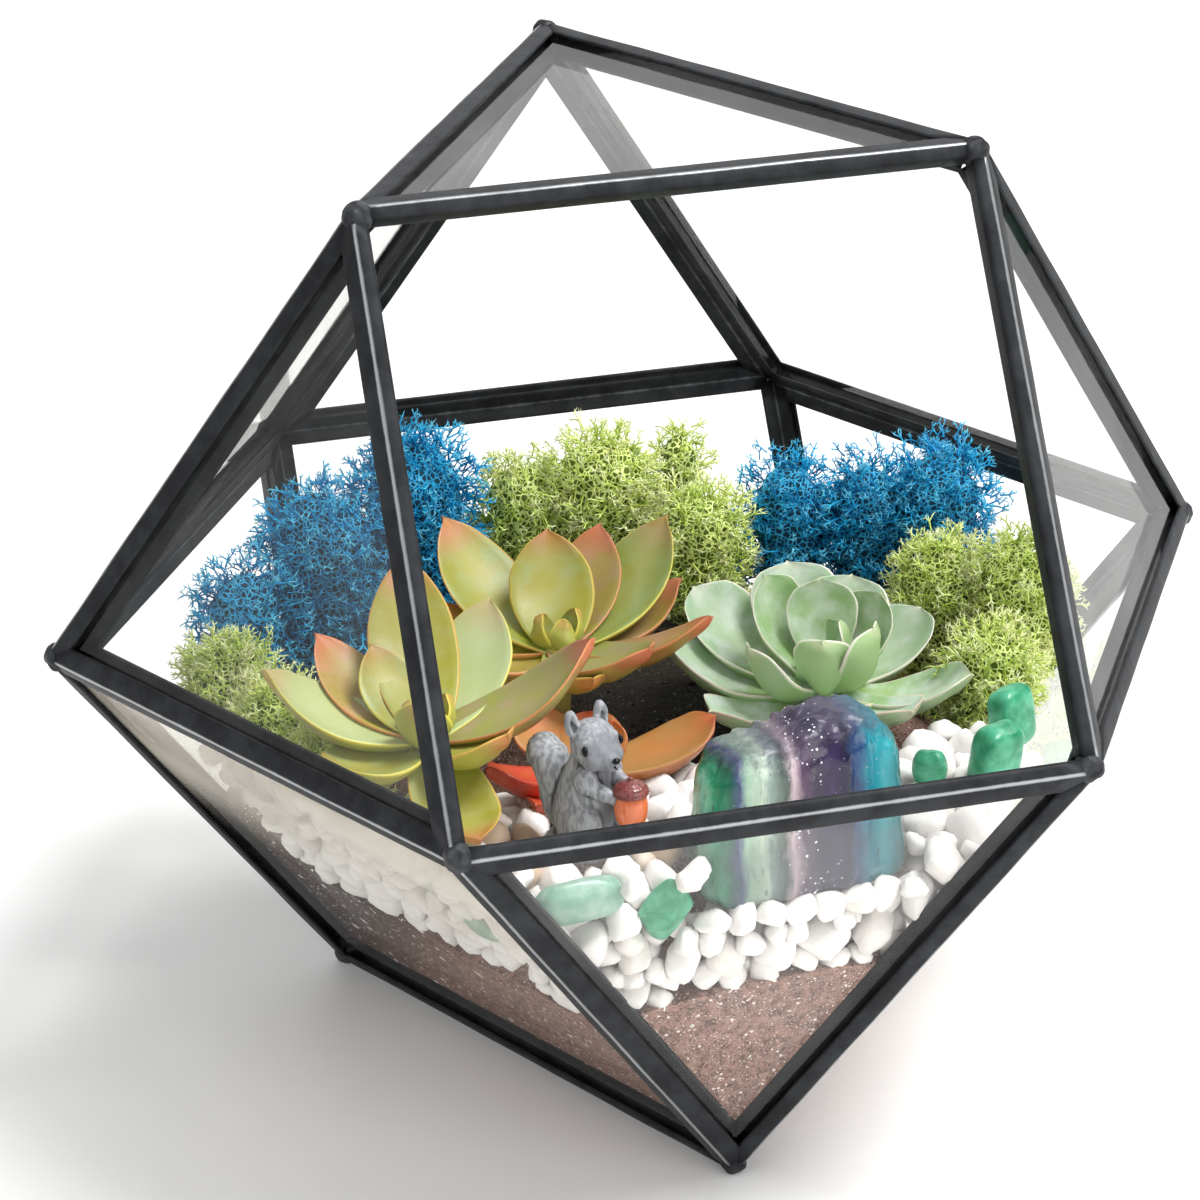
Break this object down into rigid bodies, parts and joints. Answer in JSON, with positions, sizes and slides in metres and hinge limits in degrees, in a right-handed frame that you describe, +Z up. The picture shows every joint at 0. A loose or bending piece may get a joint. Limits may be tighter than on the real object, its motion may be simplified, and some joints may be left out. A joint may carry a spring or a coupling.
{
  "type": "glass plant terrarium",
  "caption": "Geometric glass jar held by black came, one square face open, planted with succulents and coloured moss on soil and pebbles.",
  "frame": {"origin": "middle of the jar's bounding box, at the flat base it stands on", "axes": "+Z up, the open square face towards -Y and upwards, +X to its right"},
  "size_m": [0.203, 0.1766, 0.1666],
  "materials": {
    "clear_glass": "clear and glossy",
    "came_metal": "black patina, satin",
    "soil": "crumbly and matte",
    "white_stone": "tumbled and matte",
    "gold_leaf": "waxy",
    "jade_leaf": "waxy with a pale bloom",
    "bronze_leaf": "waxy",
    "blue_moss": "dry and matte",
    "green_moss": "dry and matte",
    "fluorite": "polished",
    "squirrel_grey": "satin",
    "acorn_brown": "glossy",
    "sea_glass": "frosted"
  },
  "bodies": {
    "root": {"acorn": "acorn_brown", "blue_moss_left": "blue_moss", "blue_moss_right": "blue_moss", "bronze_succulent": "bronze_leaf", "came_back_left_to_back_right": "came_metal", "came_back_left_to_foot_left": "came_metal", "came_back_left_to_left": "came_metal", "came_back_left_to_top_back": "came_metal", "came_back_right_to_foot_right": "came_metal", "came_back_right_to_right": "came_metal", "came_back_right_to_top_back": "came_metal", "came_foot_front_to_foot_left": "came_metal", "came_foot_front_to_foot_right": "came_metal", "came_foot_front_to_sill_left": "came_metal", "came_foot_front_to_sill_right": "came_metal", "came_foot_left_to_foot_right": "came_metal", "came_foot_left_to_left": "came_metal", "came_foot_right_to_right": "came_metal", "came_left_to_sill_left": "came_metal", "came_left_to_top_left": "came_metal", "came_right_to_sill_right": "came_metal", "came_right_to_top_right": "came_metal", "came_sill_left_to_sill_right": "came_metal", "came_sill_left_to_top_left": "came_metal", "came_sill_right_to_top_right": "came_metal", "came_top_back_to_top_left": "came_metal", "came_top_back_to_top_right": "came_metal", "came_top_left_to_top_right": "came_metal", "fluorite_stone": "fluorite", "gold_succulent_back": "gold_leaf", "gold_succulent_front": "gold_leaf", "green_moss_back": "green_moss", "green_moss_left": "green_moss", "green_moss_right": "green_moss", "jade_echeveria": "jade_leaf", "pane_back": "clear_glass", "pane_back_low": "clear_glass", "pane_base": "clear_glass", "pane_front_low": "clear_glass", "pane_left_low": "clear_glass", "pane_point_left": "clear_glass", "pane_point_right": "clear_glass", "pane_right_low": "clear_glass", "pane_shoulder_left": "clear_glass", "pane_shoulder_right": "clear_glass", "pane_side_left": "clear_glass", "pane_side_right": "clear_glass", "pane_top": "clear_glass", "sea_glass_front": "sea_glass", "sea_glass_front_left": "sea_glass", "sea_glass_left": "sea_glass", "sea_glass_left_low": "sea_glass", "sea_glass_right_back": "sea_glass", "sea_glass_right_small": "sea_glass", "sea_glass_right_tall": "sea_glass", "soil": "soil", "squirrel": "squirrel_grey", "white_pebbles": "white_stone"}
  },
  "joints": []
}
